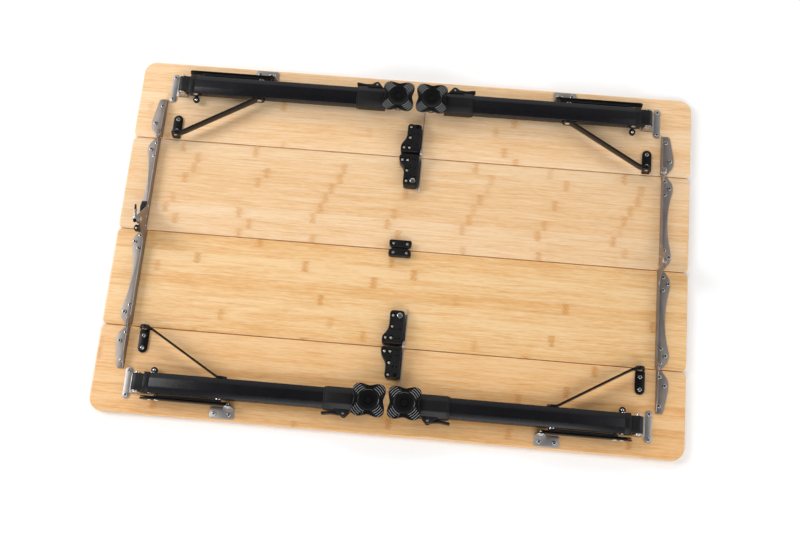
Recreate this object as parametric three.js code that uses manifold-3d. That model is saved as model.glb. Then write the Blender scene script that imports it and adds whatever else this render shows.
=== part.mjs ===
// Folding side table: four bamboo panels that fold up like a box, with telescopic folding legs.
// Millimetres. The table lies face down: z = 0 is the work surface, +X is the long side, +Z is up.
import * as THREE from "three";
import { mergeVertices } from "three/addons/utils/BufferGeometryUtils.js";
import Module from "manifold-3d";

const wasm = await Module();
wasm.setup();
const { Manifold, Mesh: SolidMesh } = wasm;

// ---- driving dimensions ----
const LENGTH = 1000; // along X
const WIDTH = 650; // along Y
const BOARD = 12; // panel thickness
const SEAM_GAP = 1;
const OUTER_SEAM_Y = 175; // inner panels are 175 wide, outer panels 150
const OUTER_CORNER_R = 22;
const SEAM_CORNER_R = 7;
const EDGE_ROUND = 2;
const GAP = 0.3; // clearance between touching parts

// Heights from here on are measured from the underside of the panels, and BOARD is added when placed.
const SIDE_PIVOT_Z = 22; // fold axis at the outer seams
const MIDDLE_PIVOT_Z = 57; // fold axis at the middle seam
const WEB_INNER_X = 447; // inner face of the webs of the first far and the third panel
const WEB_OUTER_X = 449.3; // inner face of the other webs, lapping outside them
const SHEET = 2;
const WEB_HEIGHT = 16;
const PIN_R = 3;
const BORE_R = 3.15;
const INNER_PIN_END_X = 446; // inner end of the pins through the lapped webs

const LEG_Y = 275;
const LEG_HINGE_X = 419.5;
const LEG_Z = 19;
const TUBE_HALF_W = 17.5;
const TUBE_HALF_H = 10;
const BORE_HALF_W = 15.7;
const BORE_HALF_H = 8.3;
const INNER_HALF_W = 15.2;
const INNER_HALF_H = 7.8;
const INNER_LENGTH = 335;
const COLLAR_HALF_W = 19.75;
const COLLAR_HALF_H = 13.5;
const COLLAR_LENGTH = 52;
const FOOT_LOBE_R = 29.5;
const FOOT_LOBE_SWING = 5;
const FOOT_TOP_Z = 40.5;
const FOOT_BASE_Z = 34;

const STAY_HALF_H = 8.3;
const CLAMP_PIN_Y = 299;
const CLAMP_PIN_INSET = 35; // from the collar's inner end
const LOCK_STUD_END_X = 458.8; // end of the middle pin that carries the lock lever

const BRACE_BRACKET_X = 261; // pin of the bracket link
const BRACE_LEG_X = 278; // pin of the leg link
const BRACE_KNEE_X = 381.5;
const BRACE_TAIL_X = 410;

// The right-hand legs (+X) stop 6.5 short of the left-hand ones.
const sides = [
  { tag: "left", sx: -1, footX: 26.5, collarX: 102 },
  { tag: "right", sx: 1, footX: 33, collarX: 108 },
];
const rows = [
  { tag: "far", sy: 1 },
  { tag: "near", sy: -1 },
];

// ---- colours ----
const colours = {
  bamboo: [0xe3b57c, 0.55, 0],
  steel: [0x8f8a85, 0.4, 0.9],
  black_aluminium: [0x2b2a2b, 0.45, 0.4],
  black_steel: [0x262526, 0.5, 0.4],
  black_plastic: [0x2a2a2a, 0.6, 0],
};

// ---- solid helpers ----
function toSolid(geometry) {
  const bare = new THREE.BufferGeometry();
  const source = geometry.index ? geometry.toNonIndexed() : geometry;
  bare.setAttribute("position", source.getAttribute("position"));
  const merged = mergeVertices(bare, 1e-4);
  return new Manifold(
    new SolidMesh({
      numProp: 3,
      vertProperties: new Float32Array(merged.attributes.position.array),
      triVerts: new Uint32Array(merged.index.array),
    }),
  );
}

function toGeometry(solid) {
  const mesh = solid.getMesh();
  const points = [];
  for (const index of mesh.triVerts) {
    const at = index * mesh.numProp;
    points.push(mesh.vertProperties[at], mesh.vertProperties[at + 1], mesh.vertProperties[at + 2]);
  }
  const geometry = new THREE.BufferGeometry();
  geometry.setAttribute("position", new THREE.Float32BufferAttribute(points, 3));
  geometry.computeVertexNormals();
  return geometry;
}

function join(first, ...others) {
  return others.reduce((sum, next) => sum.add(next), first);
}

function cut(body, ...tools) {
  return tools.reduce((rest, tool) => rest.subtract(tool), body);
}

// A closed outline with optional round holes [[a, b, radius], ...], pushed from low to high.
function pushed(outline, low, high, holes, sides) {
  const shape = new THREE.Shape(outline.map(([a, b]) => new THREE.Vector2(a, b)));
  for (const [a, b, r] of holes) {
    shape.holes.push(new THREE.Path(circle(a, b, r, sides).map(([p, q]) => new THREE.Vector2(p, q))));
  }
  const geometry = new THREE.ExtrudeGeometry(shape, { depth: high - low, bevelEnabled: false });
  geometry.translate(0, 0, low);
  return geometry;
}

// outline in [x, y]
function alongZ(outline, low, high, holes = [], sides = 16) {
  return toSolid(pushed(outline, low, high, holes, sides));
}

// outline in [y, z]
function alongX(outline, low, high, holes = [], sides = 16) {
  const geometry = pushed(outline, low, high, holes, sides);
  geometry.applyMatrix4(new THREE.Matrix4().set(0, 0, 1, 0, 1, 0, 0, 0, 0, 1, 0, 0, 0, 0, 0, 1));
  return toSolid(geometry);
}

// outline in [x, z]
function alongY(outline, low, high, holes = [], sides = 16) {
  const turned = outline.map(([x, z]) => [z, x]);
  const turnedHoles = holes.map(([x, z, r]) => [z, x, r]);
  const geometry = pushed(turned, low, high, turnedHoles, sides);
  geometry.applyMatrix4(new THREE.Matrix4().set(0, 1, 0, 0, 0, 0, 1, 0, 1, 0, 0, 0, 0, 0, 0, 1));
  return toSolid(geometry);
}

function circle(a, b, r, count = 16) {
  const points = [];
  for (let i = 0; i < count; i += 1) {
    const turn = (2 * Math.PI * i) / count;
    points.push([a + r * Math.cos(turn), b + r * Math.sin(turn)]);
  }
  return points;
}

function arc(a, b, r, from, to, steps) {
  const points = [];
  for (let i = 0; i <= steps; i += 1) {
    const turn = THREE.MathUtils.degToRad(from + ((to - from) * i) / steps);
    points.push([a + r * Math.cos(turn), b + r * Math.sin(turn)]);
  }
  return points;
}

function rectangle(a0, b0, a1, b1) {
  return [[a0, b0], [a1, b0], [a1, b1], [a0, b1]];
}

// A rectangle with rounded corners, each with its own radius: low-low, high-low, high-high, low-high.
function roundedRectangle(a0, b0, a1, b1, radii, steps) {
  const [r0, r1, r2, r3] = radii;
  return [
    ...arc(a0 + r0, b0 + r0, r0, 180, 270, steps),
    ...arc(a1 - r1, b0 + r1, r1, 270, 360, steps),
    ...arc(a1 - r2, b1 - r2, r2, 0, 90, steps),
    ...arc(a0 + r3, b1 - r3, r3, 90, 180, steps),
  ];
}

// A bar with two round ends, lying along the first axis.
function capsule(a0, a1, b, r, steps) {
  return [...arc(a0, b, r, 90, 270, steps), ...arc(a1, b, r, -90, 90, steps)];
}

// The eight-sided section of the legs, in [y, z].
function octagon(halfWidth, halfHeight, chamferWidth, chamferHeight) {
  const flat = halfWidth - chamferWidth;
  const side = halfHeight - chamferHeight;
  return [
    [flat, halfHeight], [-flat, halfHeight], [-halfWidth, side], [-halfWidth, -side],
    [-flat, -halfHeight], [flat, -halfHeight], [halfWidth, -side], [halfWidth, side],
  ].map(([y, z]) => [LEG_Y + y, LEG_Z + z]);
}

// ---- placing ----
const table = new THREE.Group();
table.name = "folding_side_table";

// Parts are built in the quarter where x and y are positive, then mirrored into their own quarter.
function place(name, solid, slot, sx = 1, sy = 1) {
  const [colour, roughness, metalness] = colours[slot];
  const material = new THREE.MeshStandardMaterial({ color: colour, roughness, metalness });
  material.name = slot;
  const mesh = new THREE.Mesh(toGeometry(solid.scale([sx, sy, 1]).translate([0, 0, BOARD])), material);
  mesh.name = name;
  table.add(mesh);
}

// ---- panels ----
function panel(y0, y1, outer) {
  const far = outer ? OUTER_CORNER_R : SEAM_CORNER_R;
  const radii = [SEAM_CORNER_R, SEAM_CORNER_R, far, far];
  const outline = roundedRectangle(-LENGTH / 2, y0, LENGTH / 2, y1, radii, 4);
  const shape = new THREE.Shape(outline.map(([x, y]) => new THREE.Vector2(x, y)));
  const geometry = new THREE.ExtrudeGeometry(shape, {
    depth: BOARD - 2 * EDGE_ROUND,
    bevelEnabled: true,
    bevelThickness: EDGE_ROUND,
    bevelSize: EDGE_ROUND,
    bevelOffset: -EDGE_ROUND,
    bevelSegments: 2,
  });
  geometry.translate(0, 0, EDGE_ROUND - BOARD);
  return toSolid(geometry);
}

for (const { tag, sy } of rows) {
  const outer = panel(OUTER_SEAM_Y + SEAM_GAP / 2, WIDTH / 2, true);
  const inner = panel(SEAM_GAP / 2, OUTER_SEAM_Y - SEAM_GAP / 2, false);
  place(`panel_outer_${tag}`, outer, "bamboo", 1, sy);
  place(`panel_inner_${tag}`, inner, "bamboo", 1, sy);
}

// ---- side bars: a flange on the panel's edge and a web that carries the fold pivots ----
function outerBar(web, pinned) {
  const flange = alongZ(
    [
      [web, 176.5], [458, 176.5], [468, 190], [470.2, 197], [470.2, 208],
      [467.5, 224], [464.5, 238], [462, 247], [458, 250], [web, 250],
    ],
    GAP, GAP + SHEET,
  );
  const side = alongX(
    [
      [250, GAP], [250, 5], [240, 11], [226, WEB_HEIGHT], [190, WEB_HEIGHT], [182, 20],
      ...arc(OUTER_SEAM_Y, SIDE_PIVOT_Z, 8, 30, 230, 6), [176.5, 12], [176.5, GAP],
    ],
    web, web + SHEET, pinned ? [] : [[OUTER_SEAM_Y, SIDE_PIVOT_Z, BORE_R]],
  );
  if (!pinned) return join(flange, side);
  const pin = alongX(circle(OUTER_SEAM_Y, SIDE_PIVOT_Z, PIN_R, 16), INNER_PIN_END_X, web + SHEET);
  return join(flange, side, pin);
}

// The far bars rise to the middle pivot in a wide ramp, the near ones in a narrow one.
const wideRamp = [[48, WEB_HEIGHT], [37, 21], [24, 38], [13, 53]];
const narrowRamp = [[29, WEB_HEIGHT], [20, 27], [15, 38], [10, 47]];

function innerBar(web, outerBore, middlePin, lockStud) {
  const flange = alongZ(
    [
      [web, 1], [458, 1], [468, 15], [470.2, 24], [466, 46], [463, 64], [462.2, 80],
      [462.2, 100], [464, 118], [466, 130], [470.2, 149], [468.5, 160], [459, 173.5], [web, 173.5],
    ],
    GAP, GAP + SHEET,
  );
  const holes = [];
  if (outerBore) holes.push([OUTER_SEAM_Y, SIDE_PIVOT_Z, BORE_R]);
  if (!middlePin) holes.push([0, MIDDLE_PIVOT_Z, BORE_R]);
  const side = alongX(
    [
      [173.5, GAP], [173.5, 12], ...arc(OUTER_SEAM_Y, SIDE_PIVOT_Z, 8, -50, 150, 6),
      [160, WEB_HEIGHT], ...(middlePin ? wideRamp : narrowRamp),
      ...arc(0, MIDDLE_PIVOT_Z, 9, 0, 225, 7), [1, 40], [1, GAP],
    ],
    web, web + SHEET, holes,
  );
  let bar = join(flange, side);
  if (!outerBore) {
    const pin = circle(OUTER_SEAM_Y, SIDE_PIVOT_Z, PIN_R, 16);
    bar = join(bar, alongX(pin, INNER_PIN_END_X, web + SHEET));
  }
  if (middlePin) {
    const end = lockStud ? LOCK_STUD_END_X : web + SHEET;
    bar = join(bar, alongX(circle(0, MIDDLE_PIVOT_Z, PIN_R, 16), INNER_PIN_END_X, end));
  }
  if (lockStud) {
    const catchBlock = alongX(
      [[47, 1], [47, 19], [42, 24], [31, 27], [26, 26], [19, 14], [19, 1]],
      web + 1, 459.5,
    );
    const catchHole = alongZ(circle(455.5, 33, 2.2, 12), 12, 40);
    bar = join(bar, cut(catchBlock, catchHole));
  }
  return bar;
}

for (const { tag, sx } of sides) {
  // The far outer web and the near inner web lie inside, so every lap has one bore and one pin.
  place(`side_bar_outer_far_${tag}`, outerBar(WEB_INNER_X, false), "steel", sx, 1);
  place(`side_bar_inner_far_${tag}`, innerBar(WEB_OUTER_X, false, true, sx < 0), "steel", sx, 1);
  place(`side_bar_inner_near_${tag}`, innerBar(WEB_INNER_X, true, false, false), "steel", sx, -1);
  place(`side_bar_outer_near_${tag}`, outerBar(WEB_OUTER_X, true), "steel", sx, -1);
}

// ---- lock at the middle fold, on the left-hand bars ----
const lockBlock = join(
  alongX(
    [
      [10.5, 49], [20, 49], [21.5, 51], [21.5, 61], [19, 64], [16.8, 64],
      [13, 59.8], [10.5, 57.2],
    ],
    WEB_INNER_X, 453.8,
  ),
  alongX(rectangle(11, 34, 17, 49.5), WEB_OUTER_X, 452),
);
place("lock_block", lockBlock, "black_plastic", -1, -1);

const lockLever = alongX(
  [
    ...arc(0, MIDDLE_PIVOT_Z, 6.5, 60, 300, 8), [12, 54], [20, 58], [24, 62],
    [24, 65.5], [20, 66], [12, 64],
  ],
  455.2, 458.2, [[0, MIDDLE_PIVOT_Z, BORE_R]],
);
place("lock_lever", lockLever, "black_plastic", -1, 1);

// ---- middle alignment pair across the middle seam ----
const alignOutline = [
  [20, 13.5], [17, 14.5], [-16, 14.5], [-19, 13.5], [-19, 5], [-13, 1.2], [13, 1.2], [20, 5],
];
for (const { tag, sy } of rows) {
  place(`middle_block_${tag}`, alongZ(alignOutline, GAP, 12), "black_plastic", 1, sy);
}

// ---- centre hinges at the outer seams: a moulded block on a steel plate with a pivot web ----
function centreHinge(onOuter, web, pinned) {
  const block = onOuter
    ? [
        [19.5, 177.5], [19.5, 229], [17.5, 231], [-3.4, 231], [-5.4, 229], [-5.4, 205],
        [-7.5, 199], [-13, 194], [-15, 189], [-15, 177.5],
      ]
    : [
        [19.5, 172.5], [-15.5, 172.5], [-15.5, 160], [-13, 156], [-7.5, 152], [-5.4, 147],
        [-5.4, 116], [-3.4, 114], [17.5, 114], [19.5, 116],
      ];
  const plate = onOuter ? rectangle(0, 178, web + 1.5, 229) : rectangle(0, 116, web + 1.5, 172);
  const fin = onOuter
    ? [
        [262, GAP], [262, 5], [240, 12], [188, 12],
        ...arc(OUTER_SEAM_Y, SIDE_PIVOT_Z, 7, 20, 240, 6), [177, 10], [177, GAP],
      ]
    : [
        [107.5, GAP], [173, GAP], [173, 10],
        ...arc(OUTER_SEAM_Y, SIDE_PIVOT_Z, 7, -60, 160, 6), [162, 12], [118, 12], [107.5, 5],
      ];
  const holes = pinned ? [] : [[OUTER_SEAM_Y, SIDE_PIVOT_Z, BORE_R]];
  let body = join(
    alongZ(block, 1, 20),
    alongZ(plate, GAP, 1.8),
    alongX(fin, web, web + 1.5, holes),
  );
  if (pinned) body = join(body, alongX(circle(OUTER_SEAM_Y, SIDE_PIVOT_Z, PIN_R, 16), 20.5, web + 1.5));
  return body;
}

for (const { tag, sy } of rows) {
  place(`centre_hinge_outer_${tag}`, centreHinge(true, 21.2, false), "black_plastic", 1, sy);
  place(`centre_hinge_inner_${tag}`, centreHinge(false, 23, true), "black_plastic", 1, sy);
}

// ---- leg hinge bracket: T-plate, clevis ears and pin ----
function legBracket() {
  const plate = alongZ(
    roundedRectangle(432.5, 246.5, 445, 301.5, [6.2, 6.2, 6.2, 6.2], 3),
    GAP, GAP + SHEET,
  );
  const base = alongZ(rectangle(411, LEG_Y - 16.4, 434, LEG_Y + 16.4), GAP, GAP + SHEET);
  const ear = [
    [411, GAP], [430, GAP], [430, 8], ...arc(LEG_HINGE_X, LEG_Z, 8.5, 0, 180, 6),
  ];
  const ears = [-1, 1].map((way) => {
    const low = way > 0 ? LEG_Y + 14.2 : LEG_Y - 16.4;
    return alongY(ear, low, low + 2.2);
  });
  const pin = alongY(circle(LEG_HINGE_X, LEG_Z, PIN_R, 16), LEG_Y - 17.5, LEG_Y + 17.5);
  return join(plate, base, ...ears, pin);
}

// ---- leg: outer tube with its knuckle, end cap, clamp collar and lever ears ----
function legTube(collarX) {
  const collarEnd = collarX - COLLAR_LENGTH;
  const tube = alongX(octagon(TUBE_HALF_W, TUBE_HALF_H, 10, 3), collarEnd + 2, 404);
  const collar = alongX(octagon(COLLAR_HALF_W, COLLAR_HALF_H, 11, 5), collarEnd, collarX);
  const cap = alongX(octagon(18, 10.5, 10, 3), 402.5, 406.5);
  const knuckle = alongY(
    [[405, 11], ...arc(LEG_HINGE_X, LEG_Z, 8, -90, 90, 8), [405, 27]],
    LEG_Y - 13.9, LEG_Y + 13.9,
  );
  const bore = alongX(octagon(BORE_HALF_W, BORE_HALF_H, 9, 2.6), collarEnd - 1, 395);
  const hingeBore = alongY(circle(LEG_HINGE_X, LEG_Z, BORE_R, 16), LEG_Y - 20, LEG_Y + 20);
  const stud = alongY(circle(BRACE_LEG_X, LEG_Z, 2.5), LEG_Y + 16.5, LEG_Y + 21.8);
  const pinX = collarX - CLAMP_PIN_INSET;
  const ear = [[pinX + 16, 294], [pinX + 4, 302.5], [pinX - 2, 304], [pinX - 11, 294]];
  const ears = [alongZ(ear, 10, 13), alongZ(ear, 25, 28)];
  const clampPin = alongZ(circle(pinX, CLAMP_PIN_Y, 2, 12), 11, 27);
  return join(cut(join(tube, collar, cap, knuckle), bore, hingeBore), stud, ...ears, clampPin);
}

function clampLever(collarX) {
  const pinX = collarX - CLAMP_PIN_INSET;
  return alongZ(
    [
      ...arc(pinX, CLAMP_PIN_Y, 4, 90, 270, 6), [pinX + 20, 296], [pinX + 36, 298.5], [pinX + 37.5, 301],
      [pinX + 36, 302.5], [pinX + 20, 300.5], [pinX + 8, 301.5],
    ],
    13.4, 24.6, [[pinX, CLAMP_PIN_Y, 2.3]], 12,
  );
}

// ---- sliding inner tube with a round nose that carries the foot ----
function innerTube(footX) {
  const start = footX + 14;
  const tube = alongX(octagon(INNER_HALF_W, INNER_HALF_H, 9, 2.6), start, footX + INNER_LENGTH);
  const inside = octagon(INNER_HALF_W - 1.6, INNER_HALF_H - 1.6, 8, 2);
  const hollow = alongX(inside, start + 14, footX + INNER_LENGTH + 1);
  const nose = alongY(
    [[start + 2, 12], [start + 2, 26], ...arc(footX, LEG_Z, 7, 90, 270, 8)],
    LEG_Y - 12, LEG_Y + 12,
  );
  const bore = alongY(circle(footX, LEG_Z, BORE_R, 16), LEG_Y - 20, LEG_Y + 20);
  return cut(join(cut(tube, hollow), nose), bore);
}

// ---- foot: four-lobed sole on two ears, with the tilt pin ----
function foot(footX) {
  const outline = [];
  const count = 32;
  for (let i = 0; i < count; i += 1) {
    const turn = (2 * Math.PI * i) / count;
    const r = FOOT_LOBE_R - FOOT_LOBE_SWING * Math.cos(4 * turn);
    outline.push([footX + r * Math.cos(turn), LEG_Y + r * Math.sin(turn)]);
  }
  const sole = alongZ(outline, FOOT_BASE_Z, FOOT_TOP_Z);
  const recess = alongZ(circle(footX, LEG_Y, 7.5), FOOT_TOP_Z - 2.5, FOOT_TOP_Z + 1);
  const ear = [
    [footX - 10, FOOT_BASE_Z + 1], ...arc(footX, LEG_Z, 8, 180, 360, 6), [footX + 10, FOOT_BASE_Z + 1],
  ];
  const ears = [
    alongY(ear, LEG_Y - 16.2, LEG_Y - 12.6),
    alongY(ear, LEG_Y + 12.6, LEG_Y + 16.2),
  ];
  const pin = alongY(circle(footX, LEG_Z, PIN_R, 16), LEG_Y - 14, LEG_Y + 14);
  return join(cut(sole, recess), ...ears, pin);
}

// ---- side brace: flat bar from a panel bracket on the hinge axis to the leg ----
function sideBrace() {
  const strip = alongZ(
    [
      [429, 179.5], [408, 179.5], [286, 254], [267, 254],
      [267, 257.2], [287, 257.2], [409, 182.7], [429, 182.7],
    ],
    LEG_Z - STAY_HALF_H, LEG_Z + STAY_HALF_H,
  );
  const envelope = alongY(capsule(276, LEG_HINGE_X, LEG_Z, STAY_HALF_H - 0.1, 6), 170, 270);
  const bore = alongY(circle(LEG_HINGE_X, LEG_Z, BORE_R, 16), 170, 200);
  return cut(strip.intersect(envelope), bore);
}

function sideBraceBracket() {
  const base = alongZ([[414, 176.2], [431, 176.2], ...arc(422.5, 212.5, 8.5, 0, 180, 6)], GAP, 3.3);
  const ear = alongY(
    [[414, GAP], [427.5, GAP], [427.5, 8], ...arc(LEG_HINGE_X, LEG_Z, 7.5, 0, 180, 6), [412.5, 8]],
    176.2, 179.2,
  );
  const pin = alongY(circle(LEG_HINGE_X, LEG_Z, PIN_R, 16), 176.2, 184);
  return join(base, ear, pin);
}

// ---- folding brace on the outer side of each leg ----
function braceBracket() {
  const plate = alongZ(roundedRectangle(251, 303, 293, 322, [1, 5, 5, 5], 2), GAP, GAP + SHEET);
  const ear = alongY(
    [[252, GAP], [272, GAP], [270, 10], ...arc(BRACE_BRACKET_X, LEG_Z, 7, 0, 180, 6), [252.5, 10]],
    303, 305,
  );
  const pin = alongY(circle(BRACE_BRACKET_X, LEG_Z, 2.5), 297.5, 304);
  return join(plate, ear, pin);
}

// The bracket link is a deep channel as far as the knee, and a thin tail beyond it.
function bracketLink() {
  const hole = [[BRACE_BRACKET_X, LEG_Z, 2.65]];
  const body = alongY(capsule(BRACE_BRACKET_X, BRACE_KNEE_X, LEG_Z, 5.5, 6), 297.2, 302.7, hole);
  const tail = alongY(capsule(BRACE_KNEE_X, BRACE_TAIL_X - 5.5, LEG_Z, 5.5, 6), 300, 302.7);
  return join(body, tail);
}

function legLink() {
  return alongY(
    capsule(BRACE_LEG_X, BRACE_KNEE_X, LEG_Z, 5.5, 6), 293, 296.9, [[BRACE_LEG_X, LEG_Z, 2.65]],
  );
}

for (const { tag: row, sy } of rows) {
  for (const { tag: side, sx, footX, collarX } of sides) {
    const at = `${row}_${side}`;
    place(`leg_bracket_${at}`, legBracket(), "steel", sx, sy);
    place(`leg_tube_${at}`, legTube(collarX), "black_aluminium", sx, sy);
    place(`clamp_lever_${at}`, clampLever(collarX), "black_plastic", sx, sy);
    place(`inner_tube_${at}`, innerTube(footX), "black_aluminium", sx, sy);
    place(`foot_${at}`, foot(footX), "black_plastic", sx, sy);
    place(`side_brace_${at}`, sideBrace(), "black_steel", sx, sy);
    place(`side_brace_bracket_${at}`, sideBraceBracket(), "black_steel", sx, sy);
    place(`brace_bracket_${at}`, braceBracket(), "steel", sx, sy);
    place(`bracket_link_${at}`, bracketLink(), "black_steel", sx, sy);
    place(`leg_link_${at}`, legLink(), "black_steel", sx, sy);
  }
}

export default table;
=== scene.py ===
import math

import bpy
from mathutils import Matrix, Vector
from mathutils.geometry import tessellate_polygon


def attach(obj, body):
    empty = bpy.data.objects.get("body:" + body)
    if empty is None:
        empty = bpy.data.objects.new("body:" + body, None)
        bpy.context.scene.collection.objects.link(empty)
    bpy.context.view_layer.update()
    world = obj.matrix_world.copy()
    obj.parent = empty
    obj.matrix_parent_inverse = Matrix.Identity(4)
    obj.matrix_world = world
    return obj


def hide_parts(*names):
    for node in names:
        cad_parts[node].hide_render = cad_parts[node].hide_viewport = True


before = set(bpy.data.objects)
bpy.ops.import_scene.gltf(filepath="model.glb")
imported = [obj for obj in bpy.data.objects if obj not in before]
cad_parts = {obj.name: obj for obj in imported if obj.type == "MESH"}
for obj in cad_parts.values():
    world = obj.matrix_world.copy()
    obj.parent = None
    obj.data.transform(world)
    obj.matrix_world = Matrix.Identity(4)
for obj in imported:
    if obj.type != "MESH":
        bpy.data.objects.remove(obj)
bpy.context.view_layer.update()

MM = 0.001
BOARD = 12.0  # panel thickness; heights below are measured from the underside of the panels
SEAT = 0.3  # lowest height of a fitting that lies on a panel
TOP = 2.3  # top face of sheet steel that lies on a panel
SIDES = (("left", -1, 26.5, 102.0), ("right", 1, 33.0, 108.0))  # tag, sign, foot x, collar x
ROWS = (("far", 1), ("near", -1))
OUTER_FOLD_Y, OUTER_FOLD_Z = 175, 22  # axis of the folds between outer and inner panels
MIDDLE_FOLD_Z = 57  # axis of the middle fold, at y = 0
OUTER_PIVOT, MIDDLE_PIVOT = (0, OUTER_FOLD_Y, OUTER_FOLD_Z), (0, 0, MIDDLE_FOLD_Z)
SCREW_R = 3.4  # the screws that hold sheet steel on a panel

# ---------------------------------------------------------------- camera
# It stands nearly above the near edge and is turned a little, so that its own right and
# back directions are these, in the frame's axes; place in metres, focal length in mm.
CAMERA_PLACE = (0.0964, -0.6126, 1.9385)
CAMERA_RIGHT = (0.99569, 0.09033, -0.02101)
CAMERA_BACK = (0.04640, -0.28903, 0.95620)
SENSOR_WIDTH, FOCAL_LENGTH = 36.0, 52.12

camera = bpy.data.objects.new("camera", bpy.data.cameras.new("camera"))
bpy.context.scene.collection.objects.link(camera)
back = Vector(CAMERA_BACK).normalized()
up = back.cross(Vector(CAMERA_RIGHT).normalized()).normalized()
right = up.cross(back)
turn = Matrix((right, up, back)).transposed().to_4x4()
camera.matrix_world = Matrix.Translation(CAMERA_PLACE) @ turn
camera.data.sensor_width = SENSOR_WIDTH
camera.data.lens = FOCAL_LENGTH
camera.data.clip_start = 0.05
camera.data.clip_end = 60.0
bpy.context.scene.camera = camera


# ---------------------------------------------------------------- outlines, in millimetres
def circle(a, b, r, count=32):
    return [
        (a + r * math.cos(math.tau * i / count), b + r * math.sin(math.tau * i / count))
        for i in range(count)
    ]


def arc(a, b, r, start, end, steps=8):
    found = []
    for i in range(steps + 1):
        t = math.radians(start + (end - start) * i / steps)
        found.append((a + r * math.cos(t), b + r * math.sin(t)))
    return found


def capsule(a0, a1, b, r, steps=12):
    return arc(a0, b, r, 90, 270, steps) + arc(a1, b, r, -90, 90, steps)


def rectangle(a0, b0, a1, b1):
    return [(a0, b0), (a1, b0), (a1, b1), (a0, b1)]


LONGEST_REACH = 0.48  # a rounded corner takes at most this share of the side that it ends


def fillet(points, radius, steps=4):
    """Rounds the corners of a closed outline; radius is one number, or one for each corner.

    The two end points of an open stretch have radius 0.
    """
    radii = radius if isinstance(radius, (list, tuple)) else [radius] * len(points)
    found = []
    for i, r in enumerate(radii):
        here = Vector(points[i])
        before = Vector(points[i - 1]) - here
        after = Vector(points[(i + 1) % len(points)]) - here
        if r <= 0:
            found.append(tuple(here))
            continue
        reach = min(r, before.length * LONGEST_REACH, after.length * LONGEST_REACH)
        a = here + before.normalized() * reach
        b = here + after.normalized() * reach
        for k in range(steps + 1):
            t = k / steps
            p = a * (1 - t) ** 2 + here * 2 * t * (1 - t) + b * t**2
            found.append((p.x, p.y))
    return found


def area(points):
    return sum(
        points[i - 1][0] * points[i][1] - points[i][0] * points[i - 1][1]
        for i in range(len(points))
    )


def tidy(points):
    """Drops points that repeat, and turns the outline anticlockwise."""
    kept = []
    for p in points:
        if not kept or math.dist(p, kept[-1]) > 1e-3:
            kept.append(p)
    if math.dist(kept[0], kept[-1]) <= 1e-3:
        kept.pop()
    return kept if area(kept) > 0 else kept[::-1]


SHARPEST = 0.35  # an inset corner moves at most 1/SHARPEST times as far as its sides


def inset(points, amount):
    """The outline moved inward by amount, corner by corner."""
    found = []
    for i, p in enumerate(points):
        here = Vector(p)
        a = (here - Vector(points[i - 1])).normalized()
        b = (Vector(points[(i + 1) % len(points)]) - here).normalized()
        na, nb = Vector((-a.y, a.x)), Vector((-b.y, b.x))
        mid = na + nb
        mid = na if mid.length < 1e-6 else mid.normalized()
        found.append(tuple(here + mid * (amount / max(SHARPEST, mid.dot(na)))))
    return found


# ---------------------------------------------------------------- solid chunks
# A chunk is (vertices in mm, faces, material); a piece is made of several. A material of
# None stands for the first one in the piece's list, which is the piece's own.
TURN = {
    "Z": lambda a, b, h: (a, b, h),  # outline in x, y
    "X": lambda a, b, h: (h, a, b),  # outline in y, z
    "Y": lambda a, b, h: (a, h, b),  # outline in x, z
}


def prism(outline, low, high, axis="Z", holes=(), edge=0.4, steps=2, mat=None, hole_edge=None):
    """An outline pushed from low to high with rounded edges and optional openings right through."""
    rings = [tidy(outline)] + [tidy(h) for h in holes]
    hole_edge = edge if hole_edge is None else hole_edge
    verts, faces, caps = [], [], {0: [], 1: []}
    for number, ring in enumerate(rings):
        size = edge if number == 0 else -hole_edge
        levels = []
        for k in range(steps + 1):
            t = math.pi / 2 * k / steps
            levels.append((size * (1 - math.sin(t)), low + abs(size) * (1 - math.cos(t))))
        for k in range(steps + 1):
            t = math.pi / 2 * (1 - k / steps)
            levels.append((size * (1 - math.sin(t)), high - abs(size) * (1 - math.cos(t))))
        starts = []
        for amount, height in levels:
            starts.append(len(verts))
            verts += [TURN[axis](a, b, height) for a, b in inset(ring, amount)]
        n = len(ring)
        for s, e in zip(starts, starts[1:]):
            for i in range(n):
                j = (i + 1) % n
                quad = (s + i, s + j, e + j, e + i)
                faces.append(quad if number == 0 else quad[::-1])
        caps[0].append((starts[0], inset(ring, levels[0][0])))
        caps[1].append((starts[-1], inset(ring, levels[-1][0])))
    for end in (0, 1):
        flat = [i for start, ring in caps[end] for i in range(start, start + len(ring))]
        loops = [[Vector((a, b, 0)) for a, b in ring] for _, ring in caps[end]]
        for tri in tessellate_polygon(loops):
            p = [point_of(loops, k) for k in tri]
            up_facing = (p[1] - p[0]).cross(p[2] - p[0]).z > 0
            tri = tuple(flat[k] for k in tri)
            faces.append(tri if up_facing == (end == 1) else tri[::-1])
    if axis == "Y":
        faces = [f[::-1] for f in faces]
    return verts, faces, mat


def point_of(loops, index):
    """The point that a triangle's index means, when the loops are counted through."""
    for ring in loops:
        if index < len(ring):
            return ring[index]
        index -= len(ring)


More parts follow.
